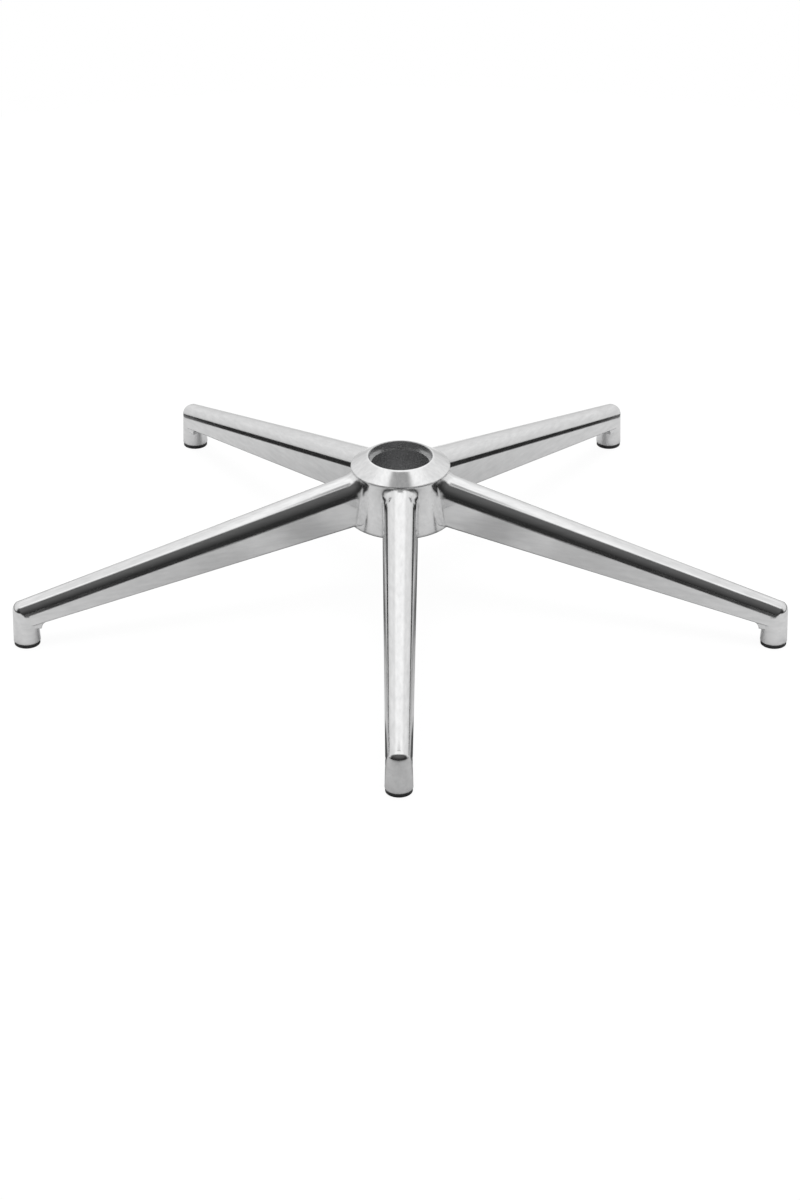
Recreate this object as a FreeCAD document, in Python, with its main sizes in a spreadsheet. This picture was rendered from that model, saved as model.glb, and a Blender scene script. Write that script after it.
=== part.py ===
import FreeCAD, Part
import math
import os
import Sketcher

# Office chair five-star base: one polished aluminium casting with five tapering arms, a hub with a
# tapered gas-lift socket, and a black bush for a caster stem in the boss at the end of each arm.
# Origin on the hub axis at the level the bushes stand on, +Z up, front arm along -Y.

doc = FreeCAD.newDocument("five_star_base")
sheet = doc.addObject("Spreadsheet::Sheet", "Sizes")


class Dim:
    """A length with its value now and the expression that keeps it tied to the sheet."""

    def __init__(self, value, text):
        self.value = value
        self.text = text

    def _with(self, other, sign):
        if not isinstance(other, Dim):
            other = Dim(float(other), repr(float(other)))
        a, b = self.value, other.value
        value = {"+": a + b, "-": a - b, "*": a * b, "/": a / b if b else 0.0}[sign]
        return Dim(value, f"({self.text} {sign} {other.text})")

    def __add__(self, other):
        return self._with(other, "+")

    def __sub__(self, other):
        return self._with(other, "-")

    def __mul__(self, other):
        return self._with(other, "*")

    def __truediv__(self, other):
        return self._with(other, "/")

    def __neg__(self):
        return Dim(-self.value, f"(-{self.text})")


def tan(angle):
    return Dim(math.tan(math.radians(angle.value)), f"tan({angle.text})")


def cos(angle):
    return Dim(math.cos(math.radians(angle.value)), f"cos({angle.text})")


def sin(angle):
    return Dim(math.sin(math.radians(angle.value)), f"sin({angle.text})")


def slope_angle(rise):
    return Dim(math.degrees(math.atan(rise.value)), f"atan({rise.text})")


rows = []


def size(alias, number, note):
    rows.append(alias)
    row = len(rows)
    sheet.set(f"A{row}", note)
    sheet.set(f"B{row}", str(number))
    sheet.setAlias(f"B{row}", alias)
    return Dim(float(number), f"Sizes.{alias}")


ZERO = Dim(0.0, "0.0")
FLARE_STEPS = 3
SLEEVE_FLATS = 12

# Arms. Sizes at the tip are taken at the boss axis, sizes at the root at the hub.
caster_radius = size("caster_radius", 329, "hub axis to boss axis")
root_radius = size("root_radius", 42, "hub axis to the place of the root sizes")
half_tip = size("half_tip", 10.4, "half width of the arm at the tip")
half_root = size("half_root", 14.6, "half width of the arm at the root")
crease_tip = size("crease_tip", 29.6, "height where the side wall meets the roof, tip")
crease_root = size("crease_root", 97.1, "height where the side wall meets the roof, root")
foot_tip = size("foot_tip", 19.6, "height of the lower edge of the wall, tip")
foot_root = size("foot_root", 70.6, "height of the lower edge of the wall, root")
flank_angle = size("flank_angle", 15, "lean of the flank above the crease, square to the arm")
flank_tip = size("flank_tip", 3.2, "height of the straight flank, tip, square to the arm")
flank_root = size("flank_root", 4.2, "height of the straight flank, root, square to the arm")
wall_draft = size("wall_draft", 1.2, "draft of the side wall")
edge_break = size("edge_break", 0.9, "break on the lower edge of the wall")
wall = size("wall", 3.6, "wall of the casting")
core_angle = size("core_angle", 52, "place of the corner of the core on the round of the roof")
flare_start = size("flare_start", 44, "hub axis to where the arm begins to widen into the hub")
flare_end = size("flare_end", 36, "hub axis to the wide end of that flare, inside the hub")
flare = size("flare", 3.4, "growth of the half width at the wide end of the flare")
rib = size("rib", 2.6, "thickness of the ribs")
rib_recess = size("rib_recess", 3.5, "rib edge above the wall edge")
rib_inner = size("rib_inner", 105, "hub axis to the inner rib")
rib_middle = size("rib_middle", 175, "hub axis to the middle rib")
rib_outer = size("rib_outer", 245, "hub axis to the outer rib")

# Bosses and bushes.
boss_ease = size("boss_ease", 0.15, "boss radius over the half width of the arm")
boss_flare = size("boss_flare", 0.75, "growth of the boss radius to its lower end")
nose_rise = size("nose_rise", 1.9, "start of the nose round above the crease")
nose_round = size("nose_round", 8, "round of the nose over the boss")
nose_angle = size("nose_angle", 25, "fall of the nose inside the round")
web_round = size("web_round", 6, "round between the boss and the arm below")
web = size("web", 19, "width of that round")
ring_height = size("ring_height", 3.4, "height of the bush flange")
ring_inset = size("ring_inset", 0.45, "flange radius under the boss radius")
sleeve_radius = size("sleeve_radius", 7, "radius over the corners of the bush sleeve")
sleeve_top = size("sleeve_top", 28.5, "height of the closed end of the sleeve")
sleeve_cap = size("sleeve_cap", 2, "thickness of the closed end")
stem_radius = size("stem_radius", 5.55, "radius of the hole for the caster stem")
seat_gap = size("seat_gap", 0.05, "radial room around the sleeve")
seat_room = size("seat_room", 0.3, "room above the sleeve")

# Hub.
hub_top = size("hub_top", 124, "height of the hub rim")
hub_foot = size("hub_foot", 67.6, "height of the lower end of the hub")
mouth_radius = size("mouth_radius", 27, "radius of the socket mouth")
mouth_depth = size("mouth_depth", 6.8, "depth of the mouth above the taper")
mouth_break = size("mouth_break", 0.5, "break inside the rim")
rim_width = size("rim_width", 0.8, "width of the flat rim with its break")
rim_round = size("rim_round", 2.5, "round from the rim into the collar")
taper_radius = size("taper_radius", 24.7, "radius at the wide end of the taper")
taper_angle = size("taper_angle", 1.438, "half angle of the gas-lift taper")
collar_radius = size("collar_radius", 42.3, "radius of the collar")
collar_angle = size("collar_angle", 33.5, "fall of the conical collar")
collar_edge = size("collar_edge", 0.9, "height of the collar edge")
neck_step = size("neck_step", 1.7, "overhang of the collar")
neck_gap = size("neck_gap", 1.4, "height of the turned neck below the collar")
skirt_radius = size("skirt_radius", 46.7, "radius of the hub at its lower end")
skirt_break = size("skirt_break", 1.2, "break on the lower end of the hub")
tube_wall = size("tube_wall", 5.2, "wall of the tube around the taper")
recess_roof = size("recess_roof", 21.5, "hub rim to the roof of the recess below")
doc.recompute()


def along(tip, root, radius):
    """Size at a distance from the hub axis on a straight taper from root to tip."""
    return tip + (root - tip) * (caster_radius - radius) / (caster_radius - root_radius)


def origin(body, role):
    return [f for f in body.Origin.OriginFeatures if f.Role == role][0]


def new_sketch(body, role, name, tilt=ZERO, **offsets):
    """Sketch on an origin plane, moved by offsets x, y, z in that plane's frame and tilted about its x."""
    sk = body.newObject("Sketcher::SketchObject", name)
    sk.AttachmentSupport = [(origin(body, role), "")]
    sk.MapMode = "FlatFace"
    base = FreeCAD.Vector(*[offsets.get(axis, ZERO).value for axis in "xyz"])
    turn = FreeCAD.Rotation(FreeCAD.Vector(1, 0, 0), tilt.value)
    sk.AttachmentOffset = FreeCAD.Placement(base, turn)
    for axis, offset in offsets.items():
        sk.setExpression(f"AttachmentOffset.Base.{axis}", offset.text)
    if tilt is not ZERO:
        sk.setExpression("AttachmentOffset.Rotation.Angle", tilt.text)
    return sk


def outline(sk, corners, arcs=None):
    """Closed outline through corners; arcs maps a side to its (radius, centre now)."""
    arcs = arcs or {}
    points = [FreeCAD.Vector(x.value, y.value, 0) for x, y in corners]
    count = len(points)
    ends = []
    for i in range(count):
        a, b = points[i], points[(i + 1) % count]
        if i in arcs:
            radius, centre = arcs[i]
            c = FreeCAD.Vector(centre[0], centre[1], 0)
            circle = Part.Circle(c, FreeCAD.Vector(0, 0, 1), radius.value)
            start = math.atan2(a.y - c.y, a.x - c.x)
            stop = math.atan2(b.y - c.y, b.x - c.x)
            turn = (stop - start) % (2 * math.pi)
            if turn < math.pi + 1e-6:
                g = sk.addGeometry(Part.ArcOfCircle(circle, start, start + turn), False)
                ends.append((g, 1, 2))
            else:
                g = sk.addGeometry(Part.ArcOfCircle(circle, stop, stop + 2 * math.pi - turn), False)
                ends.append((g, 2, 1))
            sk.addConstraint(Sketcher.Constraint("Radius", g, radius.value))
            name = f"radius_{i}"
            sk.renameConstraint(sk.ConstraintCount - 1, name)
            sk.setExpression(f"Constraints.{name}", radius.text)
        else:
            g = sk.addGeometry(Part.LineSegment(a, b), False)
            ends.append((g, 1, 2))
    for i in range(count):
        g, _, last = ends[i]
        n, first, _ = ends[(i + 1) % count]
        sk.addConstraint(Sketcher.Constraint("Coincident", g, last, n, first))
    for i, (x, y) in enumerate(corners):
        g, first, _ = ends[i]
        for kind, label, dim in (("DistanceX", "x", x), ("DistanceY", "y", y)):
            sk.addConstraint(Sketcher.Constraint(kind, -1, 1, g, first, dim.value))
            name = f"{label}_{i}"
            sk.renameConstraint(sk.ConstraintCount - 1, name)
            if dim is not ZERO:
                sk.setExpression(f"Constraints.{name}", dim.text)
    return sk


def round_top(half, flank):
    """Half width where the flank runs into the round roof."""
    return half - flank * tan(flank_angle)


def crease_drop(half, flank):
    """Fall from the centre line of the round roof to the crease."""
    return flank - round_top(half, flank) * tan(flank_angle)


# The round roof is a cone along the arm, and the sections stand square to its centre line.
axis_tip = crease_tip + crease_drop(half_tip, flank_tip)
axis_root = crease_root + crease_drop(half_root, flank_root)
axis_rise = (axis_root - axis_tip) / (caster_radius - root_radius)
axis_angle = slope_angle(axis_rise)
foot_rise = (foot_root - foot_tip) / (caster_radius - root_radius)
deep = foot_tip / 2


def arm_section(body, name, radius, core=False, growth=ZERO):
    """Inverted U across the arm, or the core inside it: drafted walls, leaning flanks and the roof."""
    height = along(axis_tip, axis_root, radius)
    half = along(half_tip, half_root, radius) + growth
    flank = along(flank_tip, flank_root, radius)
    foot = (along(foot_tip, foot_root, radius) - height) / cos(axis_angle) / (foot_rise * axis_rise + 1)
    brk = edge_break
    if core:
        half = half - wall
        foot = foot - deep
        brk = edge_break / 4
    crease = -crease_drop(half, flank)
    low = half + (crease - foot) * tan(wall_draft)
    top_x = round_top(half, flank)
    top_y = top_x * tan(flank_angle)
    roof = top_x / cos(flank_angle)
    corners = [
        (-(low - brk), foot),
        (low - brk, foot),
        (low, foot + brk),
        (half, crease),
        (top_x, top_y),
        (-top_x, top_y),
        (-half, crease),
        (-low, foot + brk),
    ]
    arcs = {4: (roof, (0.0, 0.0))}
    if core:
        corner = (roof * cos(core_angle), roof * sin(core_angle))
        corners[5:5] = [corner, (-corner[0], corner[1])]
        arcs = {}
    sk = new_sketch(body, "XZ_Plane", name, axis_angle, y=height, z=radius)
    return outline(sk, corners, arcs)


def loft(body, kind, name, first, *others):
    feature = body.newObject(f"PartDesign::{kind}", name)
    feature.Profile = first
    feature.Sections = list(others)
    feature.Ruled = True
    body.Tip = feature
    return feature


def turned(body, kind, name, sk, angle=360.0):
    feature = body.newObject(f"PartDesign::{kind}", name)
    feature.Profile = sk
    feature.ReferenceAxis = (sk, ["V_Axis"])
    if angle < 360:
        feature.Midplane = True
    feature.Angle = angle
    body.Tip = feature
    return feature


def ring_of_five(body, name, features):
    pattern = body.newObject("PartDesign::PolarPattern", name)
    pattern.Originals = features
    pattern.Axis = (origin(body, "Z_Axis"), [""])
    pattern.Angle = 360
    pattern.Occurrences = 5
    body.Tip = pattern
    return pattern


casting = doc.addObject("PartDesign::Body", "Casting")
casting.Label = "base_casting"

# Hub: rounded rim, conical collar, turned neck and drafted skirt.
rim_flat = mouth_radius + rim_width
cone_start = rim_flat + rim_round * sin(collar_angle)
cone_top = hub_top - rim_round + rim_round * cos(collar_angle)
cone_foot = cone_top - (collar_radius - cone_start) * tan(collar_angle)
collar_low = cone_foot - collar_edge
neck = collar_radius - neck_step
hub_sketch = outline(
    new_sketch(casting, "XZ_Plane", "HubProfile"),
    [
        (ZERO, hub_foot),
        (skirt_radius - skirt_break, hub_foot),
        (skirt_radius, hub_foot + skirt_break),
        (neck, collar_low - neck_gap),
        (neck, collar_low),
        (collar_radius, collar_low),
        (collar_radius, cone_foot),
        (cone_start, cone_top),
        (rim_flat, hub_top),
        (ZERO, hub_top),
    ],
    {7: (rim_round, (rim_flat.value, hub_top.value - rim_round.value))},
)
hub = turned(casting, "Revolution", "Hub", hub_sketch)

# One arm, from inside the hub to past the boss.
arm_start = taper_radius - wall
arm_end = caster_radius + half_tip * 1.6
arm = loft(
    casting,
    "AdditiveLoft",
    "Arm",
    arm_section(casting, "ArmRoot", arm_start),
    arm_section(casting, "ArmTip", arm_end),
)

# Flare of the arm into the hub, steeper step by step like a fillet.
flare_sections = []
for step in range(FLARE_STEPS + 1):
    share = step / FLARE_STEPS
    place = flare_start - (flare_start - flare_end) * share
    growth = flare * share * share
    flare_sections.append(arm_section(casting, f"Flare{step}", place, growth=growth))
root_flare = loft(casting, "AdditiveLoft", "RootFlare", *flare_sections)

# Nose: the arm is trimmed round over the boss axis.
boss_top = half_tip + boss_ease
boss_low = boss_top + boss_flare
nose_start = crease_tip + nose_rise
nose_in = boss_top - nose_round
fall_x = nose_in + nose_round * sin(nose_angle)
fall_y = nose_start + nose_round * cos(nose_angle)
past = half_tip * 3
above = crease_tip + half_tip * 3
nose_sketch = outline(
    new_sketch(casting, "YZ_Plane", "NoseProfile", x=-caster_radius),
    [
        (-boss_low, ring_height),
        (-boss_top, nose_start),
        (-fall_x, fall_y),
        (ZERO, fall_y + fall_x * tan(nose_angle)),
        (ZERO, above),
        (-past, above),
        (-past, ring_height),
    ],
    {1: (nose_round, (-nose_in.value, nose_start.value))},
)
nose = turned(casting, "Groove", "Nose", nose_sketch, 180.0)

# Boss below the nose, with the same flank.
boss_sketch = outline(
    new_sketch(casting, "YZ_Plane", "BossProfile", x=-caster_radius),
    [
        (ZERO, ring_height),
        (boss_low, ring_height),
        (boss_low - boss_flare * (crease_tip - ring_height) / (nose_start - ring_height), crease_tip),
        (ZERO, crease_tip),
    ],
)
boss = turned(casting, "Revolution", "Boss", boss_sketch)

# Rounded web between the boss and the underside of the arm.
web_far = boss_low + web_round
web_high = along(foot_tip, foot_root, caster_radius - web_far)
web_sketch = outline(
    new_sketch(casting, "YZ_Plane", "WebProfile", x=-caster_radius),
    [
        (ZERO, web_high - web_round),
        (boss_low, web_high - web_round),
        (web_far, web_high),
        (web_far, web_high + wall),
        (ZERO, web_high + wall),
    ],
    {1: (web_round, (web_far.value, web_high.value - web_round.value))},
)
boss_web = casting.newObject("PartDesign::Pad", "BossWeb")
boss_web.Profile = web_sketch
boss_web.Midplane = True
boss_web.setExpression("Length", web.text)
casting.Tip = boss_web

arms = ring_of_five(casting, "Arms", [arm, root_flare, nose, boss, boss_web])

# Open channel under each arm, between the socket tube and the boss.
tube_radius = taper_radius + tube_wall
channel_start = tube_radius + axis_rise * (along(axis_tip, axis_root, tube_radius) - hub_foot)
channel_end = caster_radius - web_far - wall / 2
channel = loft(
    casting,
    "SubtractiveLoft",
    "Channel",
    arm_section(casting, "ChannelRoot", channel_start, core=True),
    arm_section(casting, "ChannelTip", channel_end, core=True),
)
cut_and_ribs = [channel]
for name, place in (("RibInner", rib_inner), ("RibMiddle", rib_middle), ("RibOuter", rib_outer)):
    half = along(half_tip, half_root, place)
    crease = along(crease_tip, crease_root, place)
    side = half - wall / 2
    top = half * 0.8
    rib_sketch = outline(
        new_sketch(casting, "XZ_Plane", name + "Profile", z=place),
        [
            (-side, along(foot_tip, foot_root, place) + rib_recess),
            (side, along(foot_tip, foot_root, place) + rib_recess),
            (side, crease),
            (half * 0.5, crease + top),
            (-half * 0.5, crease + top),
            (-side, crease),
        ],
    )
    pad = casting.newObject("PartDesign::Pad", name)
    pad.Profile = rib_sketch
    pad.Midplane = True
    pad.setExpression("Length", rib.text)
    casting.Tip = pad
    cut_and_ribs.append(pad)

# Blind seat for the bush in each boss.
seat_sketch = new_sketch(casting, "XY_Plane", "SeatProfile", z=ring_height)
seat_radius = sleeve_radius + seat_gap
seat_sketch.addGeometry(
    Part.Circle(FreeCAD.Vector(0, -caster_radius.value, 0), FreeCAD.Vector(0, 0, 1), seat_radius.value),
    False,
)
seat_sketch.addConstraint(Sketcher.Constraint("PointOnObject", 0, 3, -2))
seat_sketch.addConstraint(Sketcher.Constraint("DistanceY", 0, 3, -1, 1, caster_radius.value))
seat_sketch.renameConstraint(1, "place")
seat_sketch.addConstraint(Sketcher.Constraint("Radius", 0, seat_radius.value))
seat_sketch.renameConstraint(2, "radius")
seat_sketch.setExpression("Constraints.place", caster_radius.text)
seat_sketch.setExpression("Constraints.radius", seat_radius.text)
seat = casting.newObject("PartDesign::Pocket", "Seat")
seat.Profile = seat_sketch
seat.Reversed = True
seat.setExpression("Length", (sleeve_top + seat_room - ring_height).text)
casting.Tip = seat
cut_and_ribs.append(seat)
undersides = ring_of_five(casting, "Undersides", cut_and_ribs)

# Recess around the socket tube, open below, with a web to the skirt between the arms.
recess_top = hub_top - recess_roof
lean = (skirt_radius - neck) / (collar_low - neck_gap - hub_foot - skirt_break)
skirt_in_low = skirt_radius - wall + lean * deep
skirt_in_top = skirt_radius - wall - lean * (recess_top - hub_foot)
recess_sketch = outline(
    new_sketch(casting, "XZ_Plane", "RecessProfile"),
    [
        (tube_radius, hub_foot - deep),
        (skirt_in_low, hub_foot - deep),
        (skirt_in_top, recess_top),
        (tube_radius, recess_top),
    ],
)
recess = turned(casting, "Groove", "Recess", recess_sketch)
hub_web_sketch = outline(
    new_sketch(casting, "YZ_Plane", "HubWebProfile"),
    [
        (tube_radius - tube_wall / 2, hub_foot + rib_recess),
        (skirt_in_low - lean * deep + wall / 3, hub_foot + rib_recess),
        (skirt_in_top + wall / 3, recess_top + wall / 2),
        (tube_radius - tube_wall / 2, recess_top + wall / 2),
    ],
)
hub_web = casting.newObject("PartDesign::Pad", "HubWeb")
hub_web.Profile = hub_web_sketch
hub_web.Midplane = True
hub_web.setExpression("Length", rib.text)
casting.Tip = hub_web
hub_webs = ring_of_five(casting, "HubWebs", [hub_web])

# Socket: broken rim, straight mouth, then the taper right through.
taper_top = hub_top - mouth_depth
below_hub = hub_foot - wall
socket_sketch = outline(
    new_sketch(casting, "XZ_Plane", "SocketProfile"),
    [
        (ZERO, below_hub),
        (taper_radius - (taper_top - below_hub) * tan(taper_angle), below_hub),
        (taper_radius, taper_top),
        (mouth_radius, taper_top),
        (mouth_radius, hub_top - mouth_break),
        (mouth_radius + mouth_break, hub_top),
        (mouth_radius + mouth_break, hub_top + wall),
        (ZERO, hub_top + wall),
    ],
)
socket = turned(casting, "Groove", "Socket", socket_sketch)

# Caster-stem bushes: round flange under the boss, many-sided sleeve that grips its seat, blind stem hole.
places = {
    "caster_bush_front": -90,
    "caster_bush_front_right": -18,
    "caster_bush_back_right": 54,
    "caster_bush_back_left": 126,
    "caster_bush_front_left": 198,
}
flange = boss_low - ring_inset
sleeve_corners = []
for number in range(SLEEVE_FLATS):
    corner_angle = 360 * (number + 0.5) / SLEEVE_FLATS
    bearing = Dim(corner_angle, str(corner_angle))
    sleeve_corners.append((sleeve_radius * cos(bearing), sleeve_radius * sin(bearing)))
bodies = [casting]
for label, angle in places.items():
    bush = doc.addObject("PartDesign::Body", label)
    bush.Label = label
    flange_sketch = outline(
        new_sketch(bush, "XZ_Plane", "FlangeProfile_" + label),
        [(ZERO, ZERO), (flange, ZERO), (flange, ring_height), (ZERO, ring_height)],
    )
    turned(bush, "Revolution", "Flange_" + label, flange_sketch)
    sleeve = bush.newObject("PartDesign::Pad", "Sleeve_" + label)
    sleeve.Profile = outline(
        new_sketch(bush, "XY_Plane", "SleeveProfile_" + label, z=ring_height / 2),
        sleeve_corners,
    )
    sleeve.setExpression("Length", (sleeve_top - ring_height / 2).text)
    bush.Tip = sleeve
    hole_end = sleeve_top - sleeve_cap
    hole_sketch = outline(
        new_sketch(bush, "XZ_Plane", "HoleProfile_" + label),
        [(ZERO, -ring_height), (stem_radius, -ring_height), (stem_radius, hole_end), (ZERO, hole_end)],
    )
    turned(bush, "Groove", "Hole_" + label, hole_sketch)
    turn = math.radians(angle)
    bush.Placement = FreeCAD.Placement(
        FreeCAD.Vector(caster_radius.value * math.cos(turn), caster_radius.value * math.sin(turn), 0),
        FreeCAD.Rotation(FreeCAD.Vector(0, 0, 1), angle),
    )
    bush.setExpression("Placement.Base.x", f"{caster_radius.text} * cos({angle} deg)")
    bush.setExpression("Placement.Base.y", f"{caster_radius.text} * sin({angle} deg)")
    bodies.append(bush)

doc.recompute()
for obj in doc.Objects:
    if "Invalid" in obj.State or "Error" in obj.State:
        raise RuntimeError(f"{obj.Label} did not build: {obj.State}")
os.makedirs("parts", exist_ok=True)
for body in bodies:
    if body.Shape.isNull() or not body.Shape.isValid():
        raise RuntimeError(f"{body.Label} has no valid shape")
    body.Shape.exportStep(f"parts/{body.Label}.step")
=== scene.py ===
import math
import bpy
from mathutils import Matrix, Vector

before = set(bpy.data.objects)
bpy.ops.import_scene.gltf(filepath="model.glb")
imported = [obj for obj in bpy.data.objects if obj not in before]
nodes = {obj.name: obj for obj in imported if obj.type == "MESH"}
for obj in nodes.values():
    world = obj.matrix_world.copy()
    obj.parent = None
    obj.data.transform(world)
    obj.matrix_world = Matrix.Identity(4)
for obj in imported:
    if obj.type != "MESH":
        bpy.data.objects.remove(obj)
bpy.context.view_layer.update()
scene = bpy.context.scene
scene.view_settings.view_transform = "Standard"

# Where the casting changes its surface. Lengths are in metres, leans are parts of a unit normal.
ARMS = 5
HUB_RADIUS = 0.0475  # just outside the skirt of the hub
MOUTH_RADIUS = 0.0278  # just outside the mouth of the socket and the break at its rim
COLLAR_EDGE = 0.1142  # height of the outer edge of the collar
LEANS_IN = -0.25  # towards the hub axis or the middle of an arm: a bore or a channel
LEANS_DOWN = -0.4
TURNING_PITCH = 0.0006

# The studio, in metres.
FLOOR_RADIUS = 1.2
FLOOR_LEVEL = -0.0004  # a hair below the bushes, so that no two faces coincide
FLOOR_CORNERS = 64
SOFTBOX_FRONT = -0.17
SOFTBOX_BACK = 0.55
SOFTBOX_HALF = 0.55  # half of its width
SOFTBOX_HEIGHT = 0.55

# Brightness of the studio in the metal, where 1 is white.
BRIGHT = 1.04  # middle of the softbox
PALE = 0.84  # edge of the softbox, white card and top of the wall

FULL_TURN = 2 * math.pi


class Graph:
    """Short way to write a node tree; numbers and sockets mix freely."""

    def __init__(self, tree):
        self.tree = tree
        tree.nodes.clear()

    def add(self, kind, **settings):
        node = self.tree.nodes.new(kind)
        for key, value in settings.items():
            setattr(node, key, value)
        return node

    def put(self, value, socket):
        if isinstance(value, bpy.types.NodeSocket):
            self.tree.links.new(value, socket)
        elif value is not None:
            socket.default_value = value

    def fill(self, sockets, values):
        for socket, value in zip(sockets, values):
            self.put(value, socket)

    def math(self, operation, *values, clamp=False):
        node = self.add("ShaderNodeMath", operation=operation, use_clamp=clamp)
        self.fill(node.inputs, values)
        return node.outputs[0]

    def times(self, first, *others):
        product = first
        for value in others:
            product = self.math("MULTIPLY", product, value)
        return product

    def below(self, value, limit):
        return self.math("LESS_THAN", value, limit)

    def span(self, x, y):
        """Length of the flat vector (x, y)."""
        return self.math("SQRT", self.math("MULTIPLY_ADD", x, x, self.times(y, y)))

    def ramp(self, value, low, high, start=0.0, end=1.0):
        node = self.add("ShaderNodeMapRange", interpolation_type="SMOOTHSTEP")
        names = ("Value", "From Min", "From Max", "To Min", "To Max")
        self.fill([node.inputs[name] for name in names], (value, low, high, start, end))
        return node.outputs[0]

    def mix(self, share, a, b):
        node = self.add("ShaderNodeMix", data_type="FLOAT")
        self.fill(node.inputs[:1] + node.inputs[2:4], (share, a, b))
        return node.outputs[0]

    def blend(self, share, a, b):
        node = self.add("ShaderNodeMix", data_type="RGBA")
        self.fill(node.inputs[:1] + node.inputs[6:8], (share, a, b))
        return node.outputs[2]

    def split(self, vector):
        node = self.add("ShaderNodeSeparateXYZ")
        self.put(vector, node.inputs[0])
        return node.outputs

    def join(self, x, y, z):
        node = self.add("ShaderNodeCombineXYZ")
        self.fill(node.inputs, (x, y, z))
        return node.outputs[0]

    def noise(self, vector, scale, detail=2.0, rough=0.5):
        node = self.add("ShaderNodeTexNoise")
        names = ("Vector", "Scale", "Detail", "Roughness")
        self.fill([node.inputs[name] for name in names], (vector, scale, detail, rough))
        return node.outputs["Fac"]

    def bump(self, height, distance, normal=None):
        node = self.add("ShaderNodeBump")
        names = ("Height", "Distance", "Normal")
        self.fill([node.inputs[name] for name in names], (height, distance, normal))
        return node.outputs[0]

    def show(self, shader, kind="ShaderNodeOutputMaterial"):
        self.put(shader.outputs[0], self.add(kind).inputs["Surface"])

    def dress(self, inputs):
        """Finish a material with a Principled shader that has these inputs."""
        shader = self.add("ShaderNodeBsdfPrincipled")
        for name, value in inputs.items():
            self.put(value, shader.inputs[name])
        self.show(shader)


def new_material(name):
    material = bpy.data.materials.new(name)
    material.use_nodes = True
    return material, Graph(material.node_tree)


def polished_aluminium():
    """Hand-polished casting outside, sandy as-cast skin under the arms, turned metal in the socket."""
    material, g = new_material("polished_aluminium")
    coords = g.add("ShaderNodeTexCoord")
    place = coords.outputs["Object"]
    x, y, z = g.split(place)
    nx, ny, nz = g.split(coords.outputs["Normal"])

    # Place along and across the nearest arm, and the lean of the normal away from arm and hub axis.
    turn = g.math("ARCTAN2", y, x)
    half_step = math.pi / ARMS
    local = g.math("WRAP", g.math("ADD", turn, math.pi / 2), half_step, -half_step)
    radius = g.span(x, y)
    along = g.times(radius, g.math("COSINE", local))
    across = g.times(radius, g.math("SINE", local))
    arm = g.math("SUBTRACT", turn, local)
    cos_arm, sin_arm = g.math("COSINE", arm), g.math("SINE", arm)
    n_across = g.math("SUBTRACT", g.times(ny, cos_arm), g.times(nx, sin_arm))
    n_out = g.times(n_across, g.math("SIGN", across))
    n_radial = g.math("DIVIDE", g.math("MULTIPLY_ADD", nx, x, g.times(ny, y)), radius)

    # Turned inside the socket, as cast where it is hidden, polished elsewhere.
    lean = g.mix(g.below(radius, HUB_RADIUS), n_out, n_radial)
    hidden = g.math("MAXIMUM", g.below(lean, LEANS_IN), g.below(nz, LEANS_DOWN))
    turned = g.times(g.below(radius, MOUTH_RADIUS), g.below(n_radial, LEANS_IN))
    cast = g.math("SUBTRACT", hidden, turned, clamp=True)

    # Polishing marks and smears run along the arm.
    strokes = g.join(g.times(along, 9.0), g.times(across, 480.0), g.times(z, 480.0))
    marks = g.noise(strokes, 1.0, detail=3.0, rough=0.6)
    smears = g.join(g.times(along, 70.0), g.times(across, 260.0), g.times(z, 260.0))
    cloud = g.noise(smears, 1.0, detail=2.0)
    waves = g.noise(place, 38.0, detail=1.0)
    sand = g.noise(place, 1100.0, detail=3.0, rough=0.65)
    rings = g.math("SINE", g.times(z, FULL_TURN / TURNING_PITCH))

    polish = g.math("MULTIPLY_ADD", cloud, 0.05, g.math("MULTIPLY_ADD", marks, 0.06, 0.03))
    rough = g.mix(cast, polish, g.math("MULTIPLY_ADD", sand, 0.2, 0.38))
    rough = g.mix(turned, rough, g.math("MULTIPLY_ADD", marks, 0.08, 0.22))
    dull_tone = (0.74, 0.742, 0.745, 1)
    bright_tone = (0.94, 0.94, 0.942, 1)
    cast_tone = (0.56, 0.565, 0.575, 1)
    turned_tone = (0.46, 0.462, 0.466, 1)
    shine = g.math("MULTIPLY_ADD", marks, 0.6, g.math("MULTIPLY_ADD", cloud, 1.2, -0.35))
    tone = g.blend(shine, dull_tone, bright_tone)
    tone = g.blend(cast, tone, cast_tone)
    tone = g.blend(turned, tone, turned_tone)

    # Rounded edges, softer where the arms run into the hub and nearly sharp inside the mouth.
    near_hub = g.times(g.ramp(radius, 0.048, 0.056, start=1.0, end=0.0), g.below(z, COLLAR_EDGE))
    soft = g.math("MULTIPLY_ADD", near_hub, 0.0015, 0.0017)
    outside_mouth = g.ramp(radius, 0.0275, 0.0290, start=0.12, end=1.0)
    edge = g.add("ShaderNodeBevel", samples=6)
    g.put(g.times(soft, outside_mouth), edge.inputs["Radius"])
    normal = g.bump(waves, distance=0.00006, normal=edge.outputs[0])
    normal = g.bump(marks, distance=0.000004, normal=normal)
    normal = g.bump(g.times(sand, cast), distance=0.00025, normal=normal)
    normal = g.bump(g.times(rings, turned), distance=0.000004, normal=normal)

    metallic = g.math("MULTIPLY_ADD", turned, -0.25, 1.0)
    g.dress({"Metallic": metallic, "Base Color": tone, "Roughness": rough, "Normal": normal})
    return material


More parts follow.
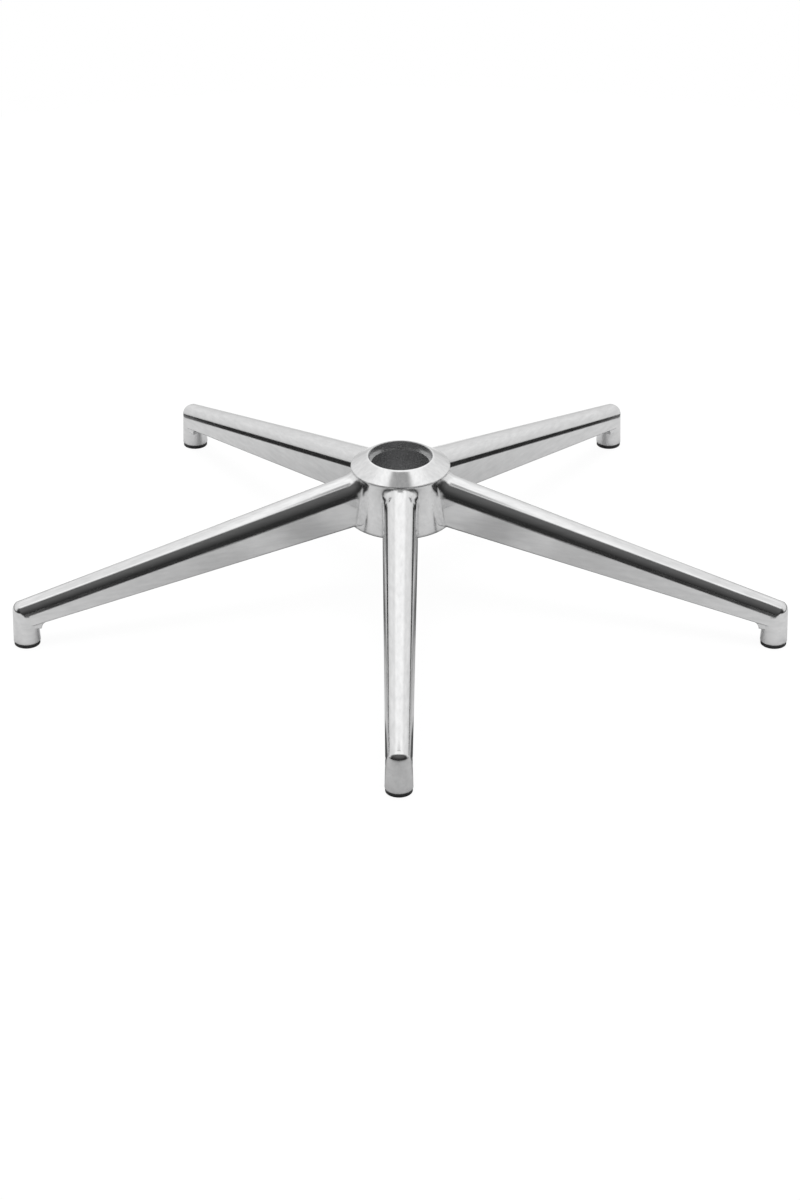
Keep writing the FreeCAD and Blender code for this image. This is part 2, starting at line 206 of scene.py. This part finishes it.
def black_plastic():
    """Moulded black bush with a fine spark-eroded skin."""
    material, g = new_material("black_plastic")
    place = g.add("ShaderNodeTexCoord").outputs["Object"]
    grain = g.noise(place, 1800.0, detail=2.0, rough=0.6)
    cloud = g.noise(place, 90.0, detail=2.0)
    tone = g.blend(cloud, (0.012, 0.012, 0.013, 1), (0.022, 0.022, 0.023, 1))
    rough = g.math("MULTIPLY_ADD", grain, 0.16, 0.36)
    g.dress({"Base Color": tone, "Roughness": rough, "Normal": g.bump(grain, distance=0.00006)})
    return material


metal, plastic = polished_aluminium(), black_plastic()
for name, node in nodes.items():
    node.data.materials.clear()
    node.data.materials.append(metal if name == "base_casting" else plastic)


def stage_face(name, corners, material):
    """One flat face of the studio, in the scene."""
    mesh = bpy.data.meshes.new(name)
    mesh.from_pydata(corners, [], [tuple(range(len(corners)))])
    mesh.materials.append(material)
    face = bpy.data.objects.new(name, mesh)
    scene.collection.objects.link(face)
    return face


def studio_floor():
    """White to the camera, with a trace of shadow; in the metal a white lane with painted shadow, darkest
    under the hub.
    """
    material, g = new_material("white_table")
    material.cycles.emission_sampling = "NONE"
    x, y, _ = g.split(g.add("ShaderNodeTexCoord").outputs["Object"])
    off_middle = g.math("ABSOLUTE", x)
    radius = g.span(x, y)

    # In the metal: the lane is wider in front of the hub, and white again far out and behind.
    aside = g.math("SUBTRACT", off_middle, g.ramp(y, -0.05, 0.12, start=0.22, end=0.0))
    middle = g.ramp(aside, 0.28, 0.38, start=PALE, end=0.03)
    far_out = g.ramp(aside, 0.70, 0.90, start=0.0, end=0.70)
    lane = g.mix(g.ramp(y, 0.36, 0.43), g.math("ADD", middle, far_out), PALE)
    lane = g.times(lane, g.ramp(y, -0.55, -0.18, start=0.46, end=1.0))

    # Painted shadow, seen only in the metal: darker round the hub and dark below the end of the front arm;
    # painted light: lighter along the front arm.
    # painted shadow of the hub on the floor, near and wider round it
    hub_shade = g.ramp(radius, 0.04, 0.14, start=0.34, end=1.0)
    wide_shade = g.ramp(radius, 0.10, 0.40, start=0.64, end=0.98)
    # painted light: a lighter strip along the front arm, seen only in the metal
    strip = g.ramp(off_middle, 0.03, 0.09, start=1.30, end=1.0)
    painted_light_strip = g.mix(g.ramp(y, -0.28, -0.20), 1.0, strip)
    shade = g.times(hub_shade, wide_shade, painted_light_strip)
    # painted shadow: a dark patch below the end of the front arm, seen only in the metal
    painted_arm_shadow = g.times(g.ramp(y, -0.32, -0.28), g.ramp(y, -0.24, -0.205, start=1.0, end=0.0))
    painted_arm_shadow = g.times(painted_arm_shadow, g.ramp(off_middle, 0.06, 0.10, start=1.0, end=0.0))
    card = g.times(lane, g.mix(painted_arm_shadow, shade, 0.14))

    # The camera sees a glow and, through a dim tone, the shadow. From below the floor is clear.
    path = g.add("ShaderNodeLightPath")
    in_view, in_metal = path.outputs["Is Camera Ray"], path.outputs["Is Glossy Ray"]
    tone = g.mix(in_metal, g.mix(in_view, 0.8, 0.12), card)
    surface = g.add("ShaderNodeBsdfDiffuse")
    g.put(g.join(tone, tone, tone), surface.inputs["Color"])
    glow = g.add("ShaderNodeEmission")
    g.put(g.times(in_view, 0.93), glow.inputs["Strength"])
    above = g.add("ShaderNodeAddShader")
    g.fill(above.inputs, (surface.outputs[0], glow.outputs[0]))
    clear = g.add("ShaderNodeBsdfTransparent")
    from_below = g.add("ShaderNodeNewGeometry").outputs["Backfacing"]
    both_sides = g.add("ShaderNodeMixShader")
    g.fill(both_sides.inputs, (from_below, above.outputs[0], clear.outputs[0]))
    g.show(both_sides)

    angles = [FULL_TURN * step / FLOOR_CORNERS for step in range(FLOOR_CORNERS)]
    corners = [(FLOOR_RADIUS * math.cos(a), FLOOR_RADIUS * math.sin(a), FLOOR_LEVEL) for a in angles]
    floor = stage_face("floor", corners, material)


def studio_world():
    """White to the camera; in the metal a softbox overhead, pale walls behind and a dark room in front."""
    world = bpy.data.worlds.new("studio")
    scene.world = world
    world.use_nodes = True
    world.cycles.sampling_method = "NONE"
    g = Graph(world.node_tree)
    x, y, z = g.split(g.add("ShaderNodeTexCoord").outputs["Generated"])
    facing = g.math("DIVIDE", y, g.math("MAXIMUM", g.span(x, y), 0.0001))
    rise = g.math("MAXIMUM", z, 0.02)
    slope = g.math("DIVIDE", y, rise)
    aside = g.math("DIVIDE", g.math("ABSOLUTE", x), rise)

    room = g.ramp(z, 0.0, 0.85, start=0.025, end=0.12)
    wall = g.ramp(z, 0.0, 0.5, start=0.70, end=PALE)
    around = g.mix(g.ramp(facing, -0.40, -0.05), room, wall)
    overhead = g.times(g.ramp(slope, -0.50, -0.28), g.ramp(z, 0.35, 0.75))
    softbox = g.ramp(aside, 0.40, 0.75, start=BRIGHT, end=PALE)
    sweep = g.ramp(facing, -0.20, 0.10, start=0.03, end=0.62)
    studio = g.mix(g.below(z, 0.0), g.mix(overhead, around, softbox), sweep)

    path = g.add("ShaderNodeLightPath")
    level = g.mix(path.outputs["Is Glossy Ray"], 0.5, studio)
    level = g.mix(path.outputs["Is Camera Ray"], level, 1.0)
    background = g.add("ShaderNodeBackground")
    g.put((1, 1, 1, 1), background.inputs["Color"])
    g.put(level, background.inputs["Strength"])
    g.show(background, "ShaderNodeOutputWorld")


def studio_softbox():
    """Front part of the overhead softbox, seen only in the metal, with a grey patch above the hub."""
    material, g = new_material("softbox_cloth")
    material.cycles.emission_sampling = "NONE"
    x, y, _ = g.split(g.add("ShaderNodeTexCoord").outputs["Object"])
    aside = g.math("ABSOLUTE", x)
    patch = g.ramp(aside, 0.075, 0.165, start=1.0, end=0.0)
    patch = g.times(patch, g.ramp(y, -0.055, -0.025, start=1.0, end=0.0))
    cloth = g.ramp(aside, 0.19, 0.36, start=BRIGHT, end=PALE)
    glow = g.add("ShaderNodeEmission")
    g.put(g.mix(patch, cloth, 0.38), glow.inputs["Strength"])
    g.show(glow)

    corners = [
        (-SOFTBOX_HALF, SOFTBOX_FRONT, SOFTBOX_HEIGHT),
        (SOFTBOX_HALF, SOFTBOX_FRONT, SOFTBOX_HEIGHT),
        (SOFTBOX_HALF, SOFTBOX_BACK, SOFTBOX_HEIGHT),
        (-SOFTBOX_HALF, SOFTBOX_BACK, SOFTBOX_HEIGHT),
    ]
    softbox = stage_face("softbox", corners, material)
    softbox.visible_camera = False
    softbox.visible_diffuse = False
    softbox.visible_shadow = False


def studio_lamp():
    """Weak soft light from above, which the metal doesn't mirror."""
    light = bpy.data.lights.new("overhead", "AREA")
    light.shape = "RECTANGLE"
    light.size = 1.4
    light.size_y = 1.0
    light.energy = 9.0
    lamp = bpy.data.objects.new("overhead", light)
    lamp.location = (0, 0.1, 1.4)
    lamp.visible_glossy = False
    lamp.visible_camera = False
    scene.collection.objects.link(lamp)


def photo_camera():
    """Camera on the front side, about thirty degrees above the floor."""
    azimuth, elevation, roll = (math.radians(v) for v in (-89.6911, 29.6572, -0.1345))
    target = Vector((-0.00063, 0, -0.01708))
    distance = 2.82812
    back = Vector((
        math.cos(elevation) * math.cos(azimuth),
        math.cos(elevation) * math.sin(azimuth),
        math.sin(elevation),
    ))
    side = Vector((-math.sin(azimuth), math.cos(azimuth), 0))
    up = back.cross(side)
    right = math.cos(roll) * side + math.sin(roll) * up
    top = math.cos(roll) * up - math.sin(roll) * side
    data = bpy.data.cameras.new("camera")
    data.lens = 97.648
    data.sensor_width = 36.0
    camera = bpy.data.objects.new("camera", data)
    turn = Matrix((right, top, back)).transposed().to_4x4()
    camera.matrix_world = Matrix.Translation(target + distance * back) @ turn
    scene.collection.objects.link(camera)
    scene.camera = camera


studio_floor()
studio_world()
studio_softbox()
studio_lamp()
photo_camera()
